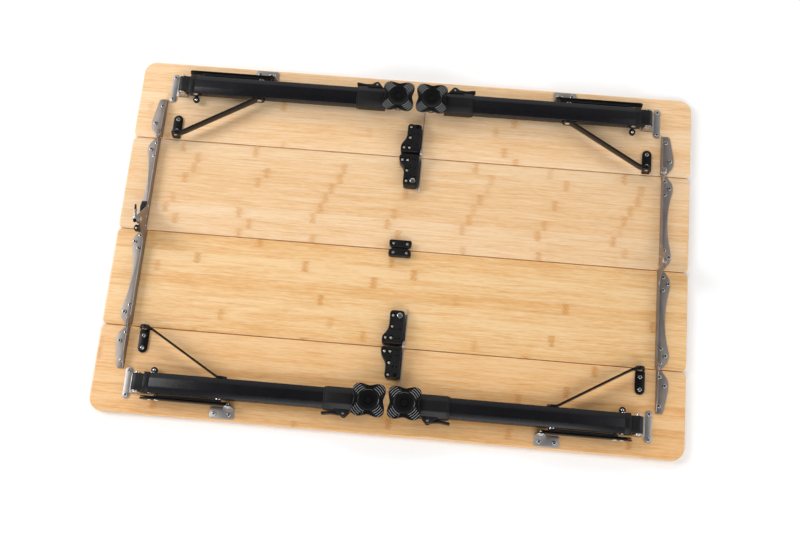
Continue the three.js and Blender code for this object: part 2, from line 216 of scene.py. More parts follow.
def lathe(profile, centre, axis="Z", count=32, mat=None):
    """A profile of (radius, height) turned about an axis through centre (x, y, z)."""
    verts, faces = [], []
    rings = []
    for r, h in profile:
        if r < 1e-6:
            rings.append([len(verts)])
            verts.append((0.0, 0.0, h))
        else:
            rings.append(list(range(len(verts), len(verts) + count)))
            verts += [(a, b, h) for a, b in circle(0, 0, r, count)]
    for a, b in zip(rings, rings[1:]):
        for i in range(count):
            j = (i + 1) % count
            if len(a) == 1 and len(b) == 1:
                continue
            if len(a) == 1:
                faces.append((a[0], b[j], b[i]))
            elif len(b) == 1:
                faces.append((a[i], a[j], b[0]))
            else:
                faces.append((a[i], a[j], b[j], b[i]))
    x, y, z = centre
    turned = {
        "Z": lambda p: (x + p[0], y + p[1], z + p[2]),
        "X": lambda p: (x + p[2], y + p[0], z + p[1]),
        "Y": lambda p: (x + p[1], y + p[2], z + p[0]),
    }[axis]
    return [turned(p) for p in verts], faces, mat


def rod(centre, r, low, high, axis="Z", count=24, edge=0.4, mat=None):
    """A round bar from low to high with softened ends."""
    profile = [(0, low), (r - edge, low), (r, low + edge)]
    profile += [(r, high - edge), (r - edge, high), (0, high)]
    return lathe(profile, centre, axis, count, mat)


DOME = ((0, 0), (1, 0), (1, 0.35), (0.8, 0.75), (0.45, 0.95), (0, 1))  # shares of radius, height


def dome(centre, r, base, height, axis="Z", count=24, mat=None):
    """A rivet head standing on base; a negative height points the other way."""
    profile = [(a * r, base + b * height) for a, b in DOME]
    return lathe(profile if height > 0 else profile[::-1], centre, axis, count, mat)


def screw(x, y, z, r, mat, dark, tilt):
    """A pan-head screw on height z, its cross recess turned by tilt and its floor in dark, which paints
    the recess's shade where it is darker than the head.
    """
    arm, half = r * 0.62, r * 0.17
    cross = [
        (arm, half), (half, half), (half, arm), (-half, arm), (-half, half), (-arm, half),
        (-arm, -half), (-half, -half), (-half, -arm), (half, -arm), (half, -half), (arm, -half),
    ]
    c, s = math.cos(tilt), math.sin(tilt)
    cross = [(x + a * c - b * s, y + a * s + b * c) for a, b in cross]
    head = circle(x, y, r, 24)
    return [
        prism(head, z, z + 1.9, holes=[cross], edge=0.85, steps=3, mat=mat, hole_edge=0.12),
        prism(circle(x, y, r * 0.8, 16), z + 0.1, z + 0.7, edge=0.1, steps=1, mat=dark),
    ]


def piece(name, chunks, materials, body, stands_for, sx=1, sy=1, smooth=32):
    """One mesh object riding on its body.

    Chunks are drawn for the far right quarter; sx and sy mirror them into their own.
    """
    verts, faces, mats = [], [], []
    for v, f, m in chunks:
        start = len(verts)
        verts += [(sx * x * MM, sy * y * MM, (z + BOARD) * MM) for x, y, z in v]
        for face in f:
            ids = [start + i for i in face]
            faces.append(ids if sx * sy > 0 else ids[::-1])
            mats.append(materials.index(m) if m else 0)
    mesh = bpy.data.meshes.new(name)
    mesh.from_pydata(verts, [], faces)
    for material in materials:
        mesh.materials.append(material)
    mesh.polygons.foreach_set("material_index", mats)
    mesh.validate()
    mesh.shade_smooth()
    mesh.set_sharp_from_angle(angle=math.radians(smooth))
    obj = bpy.data.objects.new(name, mesh)
    bpy.context.scene.collection.objects.link(obj)
    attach(obj, body)
    if stands_for:
        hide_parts(*stands_for)


# ---------------------------------------------------------------- materials
class Nodes:
    """A short way to write a material's node tree."""

    def __init__(self, name):
        self.mat = bpy.data.materials.new(name)
        self.mat.use_nodes = True
        self.tree = self.mat.node_tree
        self.shader = self.tree.nodes["Principled BSDF"]
        coords = self.tree.nodes.new("ShaderNodeTexCoord")
        self.place = coords.outputs["Object"]

    def add(self, kind, inputs=None, **settings):
        node = self.tree.nodes.new("ShaderNode" + kind)
        for key, value in settings.items():
            setattr(node, key, value)
        for key, value in (inputs or {}).items():
            self.set(node.inputs[key], value)
        return node

    def set(self, socket, value):
        if isinstance(value, bpy.types.NodeSocket):
            self.tree.links.new(value, socket)
        else:
            socket.default_value = value

    def math(self, operation, a, b=0.0):
        return self.add("Math", {0: a, 1: b}, operation=operation).outputs[0]

    def mapped(self, scale, place=None):
        return self.add("Mapping", {"Vector": place or self.place, "Scale": scale}).outputs[0]

    def vector(self, x, y, z=0.0):
        return self.add("CombineXYZ", {"X": x, "Y": y, "Z": z}).outputs[0]

    def chance(self, seed):
        """A steady random value for each whole number."""
        return self.add("TexWhiteNoise", {"W": seed}, noise_dimensions="1D").outputs["Value"]

    def noise(self, scale, detail, rough, place=None):
        sockets = {"Scale": scale, "Detail": detail, "Roughness": rough}
        return self.add("TexNoise", {"Vector": place or self.place, **sockets}).outputs["Fac"]

    def ramp(self, value, stops):
        node = self.add("ValToRGB", {"Fac": value})
        ramp = node.color_ramp
        while len(ramp.elements) < len(stops):
            ramp.elements.new(0.5)
        for element, (at, colour) in zip(ramp.elements, stops):
            element.position = at
            element.color = (*colour, 1)
        return node.outputs["Color"]

    def span(self, value, low, high, to_low=0.0, to_high=1.0, smooth=False):
        """Maps low..high onto to_low..to_high."""
        node = self.add(
            "MapRange",
            {"Value": value, "From Min": low, "From Max": high, "To Min": to_low, "To Max": to_high},
            interpolation_type="SMOOTHSTEP" if smooth else "LINEAR",
        )
        return node.outputs["Result"]

    def mix(self, factor, a, b, how="MIX"):
        node = self.add("Mix", data_type="RGBA", blend_type=how)
        self.set(node.inputs["Factor"], factor)
        for socket, value in ((node.inputs[6], a), (node.inputs[7], b)):  # the colour A and B
            if isinstance(value, tuple) and len(value) == 3:
                value = (*value, 1)
            self.set(socket, value)
        return node.outputs[2]

    def bump(self, height, strength, distance):
        node = self.add("Bump", {"Height": height, "Strength": strength, "Distance": distance})
        self.tree.links.new(node.outputs["Normal"], self.shader.inputs["Normal"])

    def finish(self, **sockets):
        for key, value in sockets.items():
            self.set(self.shader.inputs[key.replace("_", " ")], value)
        return self.mat


STRIP_WIDTH, PLY_THICKNESS = 0.0195, 0.0041  # metres, as all lengths in the materials
FIBRES = [(0.37, (0.676, 0.388, 0.156)), (0.50, (0.748, 0.490, 0.246)), (0.64, (0.796, 0.582, 0.345))]
DARK_FIBRE, NODE_HALO = (0.50, 0.255, 0.085), (0.54, 0.275, 0.090)
NODE_MARK, GLUE_LINE = (0.555, 0.240, 0.048), (0.36, 0.17, 0.06)


def bamboo(name, seed, tint, spacing, scatter, rate, contrast=1.0):
    """Edge-glued bamboo strips along X: wavy fibres, slow drifts and speckled node marks.

    A strip has a node mark every spacing metres, moved along by up to scatter spacings,
    and a share of about rate of them shows.
    """
    n = Nodes(name)
    split = n.add("SeparateXYZ", {"Vector": n.place})
    x, y, z = (split.outputs[k] for k in "XYZ")
    ply = n.math("FLOOR", n.math("MULTIPLY", z, 1 / PLY_THICKNESS))
    across = n.math("ADD", n.math("MULTIPLY", y, 1 / STRIP_WIDTH), seed * 7.31)
    across = n.math("ADD", across, n.math("MULTIPLY", ply, 11.37))
    strip = n.math("FLOOR", across)
    lane = n.math("FRACT", across)
    tone = n.chance(strip)
    shift = n.chance(n.math("ADD", strip, 41.7))

    # fibres: short wavy streaks at two scales, and slow drifts of colour along a strip
    along_strip = n.math("ADD", x, n.math("MULTIPLY", shift, 9.0))
    level = n.vector(along_strip, y, z)
    wave = n.noise(1.0, 1.0, 0.5, n.mapped((11.0, 26.0, 26.0), level))
    bent = n.math("ADD", y, n.math("MULTIPLY", n.math("SUBTRACT", wave, 0.5), 0.0055))
    moved = n.vector(along_strip, bent, z)
    fine = n.noise(1.0, 3.0, 0.6, n.mapped((62.0, 640.0, 640.0), moved))
    streak = n.noise(1.0, 3.0, 0.6, n.mapped((15.0, 360.0, 360.0), moved))
    drift = n.noise(1.0, 2.0, 0.5, n.mapped((4.5, 60.0, 60.0), moved))

    # node marks: columns that wander from strip to strip, each mark with a paler halo
    step = n.vector(n.math("MULTIPLY", strip, 0.31), seed * 5.13)
    walk = n.noise(1.0, 1.0, 0.5, step)
    along = n.math("ADD", n.math("MULTIPLY", x, 1 / spacing), n.math("MULTIPLY", walk, 1.1))
    along = n.math("ADD", along, n.math("MULTIPLY", shift, scatter))
    cell = n.math("FLOOR", along)
    ragged = n.noise(1.0, 2.0, 0.6, n.mapped((170.0, 800.0, 800.0), moved))
    place = n.math("MULTIPLY", n.math("SUBTRACT", n.math("FRACT", along), 0.5), spacing)
    place = n.math("ADD", place, n.math("MULTIPLY", n.math("SUBTRACT", ragged, 0.5), 0.020))
    place = n.math("ABSOLUTE", place)
    both = n.vector(cell, strip, seed * 3.3)
    chance = n.add("TexWhiteNoise", {"Vector": both}, noise_dimensions="3D").outputs["Value"]
    shown = n.span(chance, 1.0 - rate, 1.25 - rate)
    near = n.span(place, 0.0015, 0.0080, 1.0, 0.0, smooth=True)
    halo = n.span(place, 0.004, 0.026, 1.0, 0.0, smooth=True)
    specks = n.noise(1.0, 2.0, 0.65, n.mapped((420.0, 900.0, 900.0), moved))
    specks = n.span(specks, 0.40, 0.60)
    speckled = n.math("ADD", n.math("MULTIPLY", specks, 0.60), 0.40)
    mark = n.math("MULTIPLY", n.math("MULTIPLY", near, shown), speckled)
    halo = n.math("MULTIPLY", n.math("MULTIPLY", halo, shown), specks)
    edge = n.span(n.math("ABSOLUTE", n.math("SUBTRACT", lane, 0.5)), 0.465, 0.5)

    # colour: the weighted layers, spread about their mean by contrast, and then the marks
    value = n.math("MULTIPLY", tone, 0.12)
    for layer, share in ((fine, 0.34), (streak, 0.42), (drift, 0.18)):
        value = n.math("ADD", value, n.math("MULTIPLY", layer, share))
    mean = 0.53
    value = n.math("ADD", n.math("MULTIPLY", n.math("SUBTRACT", value, mean), contrast), mean)
    base = n.ramp(value, FIBRES)
    lines = n.noise(1.0, 2.0, 0.5, n.mapped((13.0, 560.0, 560.0), moved))
    base = n.mix(n.span(lines, 0.60, 0.70, 0.0, 0.34), base, DARK_FIBRE)
    base = n.mix(n.math("MULTIPLY", halo, 0.18), base, NODE_HALO)
    base = n.mix(n.math("MULTIPLY", mark, 0.62 * contrast), base, NODE_MARK)
    base = n.mix(n.math("MULTIPLY", edge, 0.10), base, GLUE_LINE)
    base = n.mix(1.0, base, tint, "MULTIPLY")
    rough = n.span(fine, 0.3, 0.8, 0.42, 0.56)
    height = n.math("SUBTRACT", n.math("MULTIPLY", fine, 0.6), n.math("MULTIPLY", mark, 0.4))
    n.bump(height, 0.14, 0.0003)
    return n.finish(
        Base_Color=base, Roughness=rough, Specular_IOR_Level=0.38,
        Coat_Weight=0.5, Coat_Roughness=0.22,
    )


def metal(name, colour, rough, brushed, dark=0.82):
    """Plated or brushed metal with fine lines, faint stains and uneven gloss.

    brushed scales the lines on each axis, and dark is the stains' share of the colour.
    """
    n = Nodes(name)
    lines = n.noise(1.0, 3.0, 0.6, n.mapped(tuple(900.0 * b for b in brushed)))
    stains = n.noise(38.0, 3.0, 0.6)
    low = tuple(c * dark for c in colour)
    base = n.mix(n.span(stains, 0.3, 0.7), low, colour)
    base = n.mix(n.span(lines, 0.3, 0.7, 0.0, 0.35), base, low)
    n.bump(lines, 0.10, 0.0002)
    both = n.math("ADD", lines, stains)
    return n.finish(
        Base_Color=base, Metallic=1.0, Roughness=n.span(both, 0.6, 1.4, rough - 0.06, rough + 0.06),
    )


def black(name, colour, rough, grain, strength, stretch=(1, 1, 1)):
    """Black coating or moulded plastic with a fine grain and slightly worn gloss."""
    n = Nodes(name)
    speck = n.noise(1.0, 2.0, 0.6, n.mapped(tuple(grain * s for s in stretch)))
    cloud = n.noise(22.0, 3.0, 0.6)
    light = tuple(c * 1.8 + 0.001 for c in colour)
    base = n.mix(n.span(cloud, 0.35, 0.75, 0.0, 0.30), colour, light)
    base = n.mix(n.span(speck, 0.45, 0.8, 0.0, 0.35), base, light)
    n.bump(speck, strength, 0.0002)
    both = n.math("ADD", cloud, speck)
    return n.finish(
        Base_Color=base, Specular_IOR_Level=0.30,
        Roughness=n.span(both, 0.7, 1.3, rough - 0.04, rough + 0.04),
    )


# The near panels are warmer, darker and stronger in contrast, and their marks are strewn about.
BAMBOO = {
    "outer_far": bamboo("bamboo_outer_far", 3.1, (1.045, 1.05, 1.14), 0.21, 0.22, 0.50),
    "inner_far": bamboo("bamboo_inner_far", 1.7, (1.00, 1.00, 1.07), 0.132, 0.12, 0.88),
    "inner_near": bamboo("bamboo_inner_near", 5.2, (0.982, 0.930, 0.845), 0.19, 5.0, 0.46, 1.35),
    "outer_near": bamboo("bamboo_outer_near", 8.4, (0.962, 0.850, 0.725), 0.20, 5.0, 0.40, 1.35),
}
STEEL = metal("steel_bar", (0.365, 0.315, 0.29), 0.50, (0.2, 1, 1))
# The near bars' copy of the same steel is darker: painted shade for the darker surroundings they
# reflect.
STEEL_NEAR_PAINTED_SHADE = metal("steel_bar_near_painted_shade", (0.320, 0.282, 0.257), 0.50, (0.2, 1, 1))
ZINC = metal("steel_bracket", (0.50, 0.475, 0.46), 0.46, (1, 0.2, 1))
BRIGHT = metal("steel_screw", (0.74, 0.73, 0.71), 0.24, (1, 1, 1), 0.7)
DULL = metal("steel_hinge_screw", (0.64, 0.59, 0.51), 0.36, (1, 1, 1), 0.7)
# Near-black floor of the screws' cross recesses and of the catch's hole: painted shade.
PAINTED_RECESS_SHADE = black("screw_recess_painted_shade", (0.02, 0.019, 0.018), 0.6, 1800.0, 0.25)
TUBE = black("anodised_tube", (0.0046, 0.0045, 0.0058), 0.27, 2200.0, 0.10, (0.03, 1, 1))
COATED = black("coated_steel", (0.0036, 0.0034, 0.0037), 0.34, 2600.0, 0.15)
PLASTIC = black("moulded_plastic", (0.0044, 0.0043, 0.0050), 0.42, 2400.0, 0.30)
SOLE = black("sole_rubber", (0.0042, 0.0042, 0.0046), 0.20, 2600.0, 0.08)
# Light grey of the sole's ribs: painted highlights on the ridges, which are the sole's own black.
PAINTED_RIB_HIGHLIGHT = black("sole_rib_painted_highlight", (0.19, 0.19, 0.195), 0.18, 2600.0, 0.08)


# ---------------------------------------------------------------- panels
HALF_LENGTH, CORNER_R, TOP_CORNER_R = 500, 9, 22


def panel(name, row, y0, y1, far_r, sy):
    """A board from y0 to y1, its two corners at y1 with radius far_r."""
    outline = []
    for ox, oy, y, r, start in (
        (-1, -1, y0, CORNER_R, 180), (1, -1, y0, CORNER_R, 270),
        (1, 1, y1, far_r, 0), (-1, 1, y1, far_r, 90),
    ):
        outline += arc(ox * (HALF_LENGTH - r), y - oy * r, r, start, start + 90, 10)
    board = prism(outline, -BOARD, 0.0, edge=2.4, steps=5)
    piece(f"{name}_{row}_board", [board], [BAMBOO[f"{name}_{row}"]], f"{name}_{row}_panel",
          [f"panel_{name}_{row}"], 1, sy, 50)


for row, sy in ROWS:
    panel("outer", row, 175.5, 325, TOP_CORNER_R, sy)
    panel("inner", row, 0.5, 174.5, CORNER_R, sy)

# ---------------------------------------------------------------- side bars
WEB_IN, WEB_OUT = 447.0, 449.3  # where the webs of the two overlapping bars start
WEB_THICKNESS = 2
WEB_LOBE_R = 8
PIN_HEAD_X = 446.7  # base of a pivot's head on the inner web


def outer_bar(web):
    """The bar on the end of an outer panel; web is where its upright web starts."""
    flange = fillet(
        [(web, 176.5), (458, 176.5), (468, 190), (470.3, 197), (470.3, 208),
         (467.5, 223), (464.5, 238), (462, 250.5), (web, 250.5)],
        [0, 2, 4, 4, 6, 12, 8, 5, 3], 5)
    ramp = [(250, SEAT), (250, 5), (240, 11), (226, 16), (190, 16), (182, 20)]
    side = fillet(ramp, [0, 3, 8, 8, 8, 0], 4)
    side += arc(OUTER_FOLD_Y, OUTER_FOLD_Z, WEB_LOBE_R, 30, 230, 14) + [(176.5, 12), (176.5, SEAT)]
    chunks = [prism(flange, SEAT, TOP), prism(side, web, web + WEB_THICKNESS, "X")]
    if web == WEB_IN:
        chunks.append(dome(OUTER_PIVOT, 4.6, PIN_HEAD_X, -1.6, "X", mat=BRIGHT))
    for x, y, tilt in ((455, 237.5, 0.3), (463.5, 203, 0.9), (455, 188, 0.1)):
        chunks += screw(x, y, TOP, SCREW_R, BRIGHT, PAINTED_RECESS_SHADE, tilt)
    return chunks


def inner_bar(web):
    """The bar on the end of an inner panel, with a lobe at each of its two folds."""
    flange = fillet(
        [(web, 1), (458, 1), (468.3, 16), (470.3, 25), (466, 46), (463, 64), (462.2, 80), (462.2, 100),
         (463.8, 118), (466, 130), (470.3, 149), (469, 160), (459, 173.5), (web, 173.5)],
        [0, 2, 4, 6, 16, 20, 12, 12, 20, 16, 6, 5, 2, 0], 5)
    side = [(173.5, SEAT), (173.5, 12)]
    side += arc(OUTER_FOLD_Y, OUTER_FOLD_Z, WEB_LOBE_R, -50, 150, 14)
    if web == WEB_IN:
        side += fillet([(160, 16), (29, 16), (20, 27), (15, 38), (10, 47)], [0, 8, 10, 10, 0], 5)
    else:
        side += fillet([(160, 16), (48, 16), (37, 21), (24, 38), (13, 53)], [0, 10, 14, 20, 0], 5)
    side += arc(0, MIDDLE_FOLD_Z, WEB_LOBE_R, 10, 225, 16) + [(1, 40), (1, SEAT)]
    chunks = [prism(flange, SEAT, TOP), prism(side, web, web + WEB_THICKNESS, "X")]
    if web == WEB_OUT:
        for y, z in ((39.5, 13.2), (19.5, 15.5), (3.8, 39.6), (3.8, 10.2)):
            chunks.append(dome((0, y, z), 2.3, web + 0.1, -1.2, "X", 16, BRIGHT))
    for x, y, tilt in ((455, 164, 0.2), (463.5, 151.5, 0.7), (455.5, 139, 1.2),
                       (457, 36, 0.5), (465.5, 24, 1.0), (457, 12.5, 0.1)):
        chunks += screw(x, y, TOP, SCREW_R, BRIGHT, PAINTED_RECESS_SHADE, tilt)
    if web == WEB_IN:
        chunks.append(dome(MIDDLE_PIVOT, 5.0, PIN_HEAD_X, -1.8, "X", mat=BRIGHT))
    chunks.append(rod(OUTER_PIVOT, 3.6, web + WEB_THICKNESS, web + 4.6, "X", 20, 0.6, BRIGHT))
    return chunks


# The near bars take the darker steel with its painted shade.
for side, sx, _, _ in SIDES:
    for name, row, sy, steel, chunks in (
        ("outer", "far", 1, STEEL, outer_bar(WEB_IN)),
        ("outer", "near", -1, STEEL_NEAR_PAINTED_SHADE, outer_bar(WEB_OUT)),
        ("inner", "far", 1, STEEL, inner_bar(WEB_OUT)),
        ("inner", "near", -1, STEEL_NEAR_PAINTED_SHADE, inner_bar(WEB_IN)),
    ):
        piece(f"bar_{name}_{row}_{side}", chunks, [steel, BRIGHT, PAINTED_RECESS_SHADE], f"{name}_{row}_panel",
              [f"side_bar_{name}_{row}_{side}"], sx, sy)

# ---------------------------------------------------------------- lock at the middle fold
# The lever turns on the middle fold's axis, with its spring's coils round the pivot.
housing = fillet(
    [(10.5, 49), (20, 49), (21.5, 51), (21.5, 61), (19, 64), (16.8, 64), (13, 59.8), (10.5, 57.2)],
    1.0, 3)
piece(
    "lock_housing",
    [
        prism(housing, 446.6, 453.6, "X", edge=0.9, steps=3),
        prism(rectangle(11, 34, 17, 50), 449.4, 452.0, "X", edge=0.5),
        rod((0, 15, MIDDLE_FOLD_Z), 3.2, 453.0, 454.4, "X", 20, 0.5, BRIGHT),
        dome((449.5, 18.5, 0), 1.6, 63.6, 1.0, "Z", 16, BRIGHT),
    ],
    [PLASTIC, BRIGHT], "inner_near_panel", ["lock_block"], -1, -1)

blade = arc(0, MIDDLE_FOLD_Z, 6.5, 75, 315, 16) + fillet(
    [(8, 52), (14, 55), (20, 58.5), (24, 62.3), (24, 65), (20, 65.5), (12, 63.5), (4, 63)], 1.4, 3)
plate = fillet(
    [(451.9, -2.5), (457.4, -2.5), (457.4, 15), (455.6, 15), (451.9, 6.5)], [1, 1, 0.4, 0.4, 1.5], 3)
chunks = [
    prism(blade, 455.6, 457.9, "X", edge=0.5),
    prism(plate, 63.4, 64.8, mat=ZINC, edge=0.3),
    dome((453.8, 0.5, 0), 1.7, 64.7, 1.1, "Z", 16, BRIGHT),
    dome((454.6, 5.0, 0), 1.6, 64.7, 1.1, "Z", 16, BRIGHT),
    dome(MIDDLE_PIVOT, 4.0, 457.8, 1.2, "X", mat=BRIGHT),
]
for coil_x in (452.3, 453.5, 454.7):
    chunks.append(rod(MIDDLE_PIVOT, 6.0, coil_x - 0.55, coil_x + 0.55, "X", 24, 0.5))
piece("lock_lever_arm", chunks, [COATED, BRIGHT, ZINC], "lock", ["lock_lever"], -1, 1)

catch = fillet(
    [(47, 2.2), (47, 19), (42, 24), (31, 27), (26, 26), (19, 14), (19, 2.2)], [0, 3, 4, 4, 4, 3, 0], 4)
CATCH_X, CATCH_Y = 455.5, 34  # centre of the catch's hole
collar = circle(CATCH_X, CATCH_Y, 4.0, 24)
hole = circle(CATCH_X, CATCH_Y, 2.7, 20)
piece(
    "lock_catch",
    [
        prism(catch, 451.4, 459.4, "X", edge=0.8, steps=3),
        # A plug in the catch's hole in the near-black recess colour: painted shade in the hole.
        rod((CATCH_X, CATCH_Y, 0), 2.6, 24.4, 26.9, "Z", 20, 0.3, PAINTED_RECESS_SHADE),
        prism(collar, 23.5, 27.2, holes=[hole], edge=0.5, hole_edge=0.3),
    ],
    [PLASTIC, PAINTED_RECESS_SHADE], "inner_far_panel", (), -1, 1)

# ---------------------------------------------------------------- middle alignment pair
for row, sy in ROWS:
    outline = fillet(
        [(20, 14.5), (-19, 14.5), (-19, 5), (-13, 1.2), (13, 1.2), (20, 5)], [4, 4, 5, 1, 1, 5], 6)
    wells = ((-11, 8.2, 0.4), (12.3, 8.2, 0.9))  # x, y and the screw's tilt
    openings = [circle(x, y, 4.3) for x, y, _ in wells]
    chunks = [
        prism(outline, SEAT, 9, edge=0.2),
        prism(outline, 8.6, 12, holes=openings, edge=1.0, steps=3, hole_edge=0.5),
    ]
    for x, y, tilt in wells:
        chunks += screw(x, y, 9.0, 2.5, DULL, DULL, tilt)
    piece(f"middle_block_shell_{row}", chunks, [PLASTIC, DULL], f"inner_{row}_panel",
          [f"middle_block_{row}"], 1, sy)


# ---------------------------------------------------------------- centre hinges
HINGE_FLOOR, HINGE_TOP = 16.9, 20.0  # bottom of the wells and top of the moulded block


def hinge_block(outline, radii, wells, plugs, marks):
    """A moulded block with a screw in each well, open plug holes and small mould marks."""
    outline = fillet(outline, radii, 6)
    openings = [circle(x, y, 4.6) for x, y in wells]
    openings += [circle(x, y, 3.6) for x, y in plugs]
    openings += [circle(x, y, 1.4, 12) for x, y in marks]
    chunks = [
        prism(outline, 0.8, HINGE_FLOOR, edge=0.3),
        prism(outline, 16.4, HINGE_TOP, holes=openings, edge=1.6, steps=4, hole_edge=0.5),
    ]
    for i, (x, y) in enumerate(wells):
        chunks += screw(x, y, 16.7, 2.5, DULL, DULL, 0.37 * i)
        chunks.append(dome((x, y, 0), 1.5, 18.3, 0.6, mat=DULL))
    return chunks


def outer_hinge():
    chunks = hinge_block(
        [(19.5, 177.5), (19.5, 231), (-5.4, 231), (-5.4, 204), (-15, 191), (-15, 177.5)],
        [3, 6, 6, 10, 9, 5],
        [(0.5, 226), (0.5, 205.5), (-9, 186), (0.5, 186)], [(12.6, 226)],
        [(9, 183.5), (15, 184), (13.5, 193), (3, 195.5), (7.5, 212), (14, 212)])
    fin = fillet([(262, SEAT), (262, 5), (240, 12), (188, 12)], [0, 2, 8, 0], 4)
    fin += arc(OUTER_FOLD_Y, OUTER_FOLD_Z, 7, 20, 240, 12) + [(177, 10), (177, SEAT)]
    return chunks + [
        prism(rectangle(0, 178, 22.7, 229), SEAT, 1.8, edge=0.2, mat=ZINC),
        prism(fin, 21.2, 22.7, "X", edge=0.25, mat=ZINC),
    ]


def inner_hinge():
    chunks = hinge_block(
        [(19.5, 172.5), (-15.5, 172.5), (-15.5, 160), (-5.4, 147), (-5.4, 114), (19.5, 114)],
        [3, 5, 9, 10, 6, 6],
        [(-10, 162.4), (-0.2, 162.4), (0, 142.4), (0, 122.8)], [],
        [(8, 163.5), (13.5, 163), (6, 148), (14.5, 147), (15, 131)])
    fin = [(107.5, SEAT), (173, SEAT), (173, 10)]
    fin += arc(OUTER_FOLD_Y, OUTER_FOLD_Z, 7, -60, 160, 12)
    fin += fillet([(162, 12), (118, 12), (107.5, 5)], [0, 8, 0], 4)
    return chunks + [
        prism(rectangle(0, 116, 24.5, 172), SEAT, 1.6, edge=0.2, mat=ZINC),
        prism(fin, 23.0, 24.5, "X", edge=0.25, mat=ZINC),
        dome((11.5, 123, 0), 4.6, 19.9, 0.9, mat=BRIGHT),
        dome(OUTER_PIVOT, 4.2, 21.0, -1.2, "X", mat=DULL),
    ]


for row, sy in ROWS:
    piece(f"hinge_block_outer_{row}", outer_hinge(), [PLASTIC, DULL, ZINC], f"outer_{row}_panel",
          [f"centre_hinge_outer_{row}"], 1, sy)
    piece(f"hinge_block_inner_{row}", inner_hinge(), [PLASTIC, DULL, ZINC, BRIGHT], f"inner_{row}_panel",
          [f"centre_hinge_inner_{row}"], 1, sy)

# ---------------------------------------------------------------- legs
LEG_Y, HINGE_X, LEG_Z = 275.0, 419.5, 19.0  # a leg's hinge, and its axis when folded
KNEE_X, PANEL_PIN_X, TUBE_PIN_X = 381.5, 261.0, 278.0  # pins of the folding brace
HOUSING_LENGTH, CLAMP_PIN_INSET, CLAMP_PIN_Y = 52, 35, 299


def section(half_w, half_h, chamfer_w, chamfer_h):
    """The eight-sided section of a leg, in y and z."""
    flat, side = half_w - chamfer_w, half_h - chamfer_h
    points = [
        (flat, half_h), (-flat, half_h), (-half_w, side), (-half_w, -side),
        (-flat, -half_h), (flat, -half_h), (half_w, -side), (half_w, side),
    ]
    return fillet([(LEG_Y + a, LEG_Z + b) for a, b in points], 1.3, 3)


BORE = section(15.7, 8.3, 9, 2.6)


def leg_bracket():
    """A T-shaped plate with two ears and the leg's hinge pin."""
    plate = arc(438.75, 295.3, 6.2, 0, 180, 16) + [(433.2, 285), (433.0, 274), (433.2, 263)]
    plate += arc(438.75, 252.7, 6.2, 180, 360, 16) + [(444.3, 263), (444.5, 274), (444.3, 285)]
    base = rectangle(411, 258.6, 434, 291.4)
    ear = [(411, SEAT), (430, SEAT), (427, 10)] + arc(HINGE_X, LEG_Z, 6.4, 0, 180, 16) + [(412, 10)]
    chunks = [prism(plate, SEAT, TOP), prism(base, SEAT, TOP, edge=0.2)]
    for low in (258.6, 289.2):
        chunks.append(prism(ear, low, low + 2.2, "Y"))
    hinge = (HINGE_X, 0, LEG_Z)
    chunks.append(rod(hinge, 3.0, 258, 292, "Y", 24, 0.4, BRIGHT))
    chunks.append(dome(hinge, 5.0, 291.4, 1.8, "Y", mat=BRIGHT))
    chunks.append(dome(hinge, 5.0, 258.6, -1.8, "Y", mat=BRIGHT))
    chunks += screw(438.75, 252.8, TOP, 3.3, BRIGHT, PAINTED_RECESS_SHADE, 0.5)
    chunks += screw(438.75, 295.2, TOP, 3.3, BRIGHT, PAINTED_RECESS_SHADE, 1.1)
    return chunks


def leg_tube(collar_x):
    """The outer tube with its end cap, knuckle, clamp housing and collar, and the bumper."""
    end = collar_x - HOUSING_LENGTH
    pin_x = collar_x - CLAMP_PIN_INSET
    knuckle = [(405, 11)] + arc(HINGE_X, LEG_Z, 8, -90, 90, 18) + [(405, 27)]
    collar_bore = section(17.3, 9.8, 10, 3)
    chunks = [
        prism(section(17.5, 10, 10, 3), end + 8, 404, "X", holes=[BORE], edge=0.3),
        prism(section(18, 10.4, 10, 3), 396, 406.5, "X", edge=0.8, mat=PLASTIC),
        prism(knuckle, LEG_Y - 13.9, LEG_Y + 13.9, "Y", edge=0.8, mat=PLASTIC),
        prism(section(19.75, 13.2, 11, 5), end, collar_x - 3.5, "X", holes=[BORE],
              edge=1.0, steps=3, mat=PLASTIC),
        prism(section(18.9, 11.8, 10.5, 3.8), collar_x - 4.5, collar_x, "X", holes=[collar_bore],
              edge=0.7, mat=PLASTIC),
    ]
    ear = fillet(
        [(pin_x + 17, 293), (pin_x + 15, 295.5), (pin_x + 2, 304), (pin_x - 2, 304.4),
         (pin_x - 11.5, 293)],
        [0, 2, 2.5, 2.5, 0], 4)
    brace_pin, cap_pin = (TUBE_PIN_X, 0, LEG_Z), (394, 0, 21)
    bumper = (394, 251.0, 0)
    return chunks + [
        prism(ear, 9.5, 13, mat=PLASTIC, edge=0.6),
        prism(ear, 25, 29.5, mat=PLASTIC, edge=0.8),
        rod((pin_x, CLAMP_PIN_Y, 0), 1.9, 9.2, 30.0, mat=BRIGHT),
        rod(brace_pin, 2.5, 291, 296.8, "Y", mat=BRIGHT),
        rod(brace_pin, 6.4, 292.4, 293.8, "Y", 24, 0.3, BRIGHT),
        dome(brace_pin, 4.2, 257.5, -1.2, "Y", mat=BRIGHT),
        dome(cap_pin, 4.0, 257.5, -1.6, "Y", mat=BRIGHT),
        dome(cap_pin, 4.0, 292.5, 1.6, "Y", mat=BRIGHT),
        prism(circle(*bumper[:2], 5.7, 28), 6.5, 12.0, mat=PLASTIC, edge=0.8, steps=3),
        prism(rectangle(391, 251, 397, 258), 8.5, 11.5, mat=PLASTIC, edge=0.4),
        dome(bumper, 2.6, 11.9, 1.2, mat=BRIGHT),
    ]


